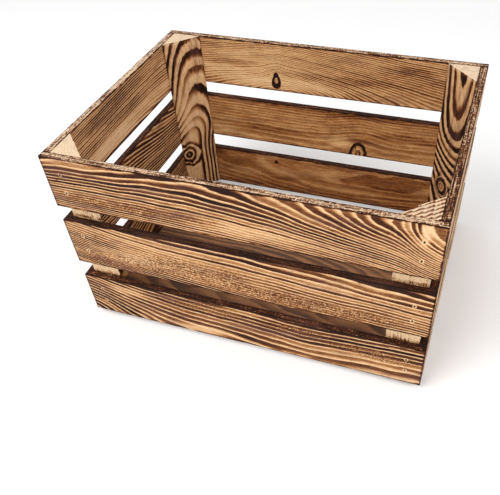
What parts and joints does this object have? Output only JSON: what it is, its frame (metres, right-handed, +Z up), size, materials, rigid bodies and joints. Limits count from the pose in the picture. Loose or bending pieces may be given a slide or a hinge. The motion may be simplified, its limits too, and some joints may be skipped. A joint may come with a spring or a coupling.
{
  "type": "wooden apple crate",
  "caption": "Rectangular slatted crate of scorched pine boards nailed round triangular corner posts, open at the top, with a slatted floor.",
  "frame": {"origin": "middle of the crate's underside", "axes": "+X along the front from left to right, +Y from front to back, +Z up"},
  "size_m": [0.52, 0.384, 0.3],
  "materials": {
    "wall_slat": "scorched and brushed pine, matt",
    "post": "sawn pine, lightly scorched on its long face, bare end grain, matt",
    "floor_slat": "planed pine, barely scorched, matt",
    "nail": "darkened by flame, dull"
  },
  "bodies": {
    "root": {"post_front_right": "post", "post_back_right": "post", "post_back_left": "post", "post_front_left": "post", "front_slat_lower": "wall_slat", "front_slat_middle": "wall_slat", "front_slat_upper": "wall_slat", "right_slat_lower": "wall_slat", "right_slat_middle": "wall_slat", "right_slat_upper": "wall_slat", "back_slat_lower": "wall_slat", "back_slat_middle": "wall_slat", "back_slat_upper": "wall_slat", "left_slat_lower": "wall_slat", "left_slat_middle": "wall_slat", "left_slat_upper": "wall_slat", "floor_slat_front": "floor_slat", "floor_slat_middle": "floor_slat", "floor_slat_back": "floor_slat", "nails_front": "nail", "nails_right": "nail", "nails_back": "nail", "nails_left": "nail", "nails_floor": "nail"}
  },
  "joints": []
}
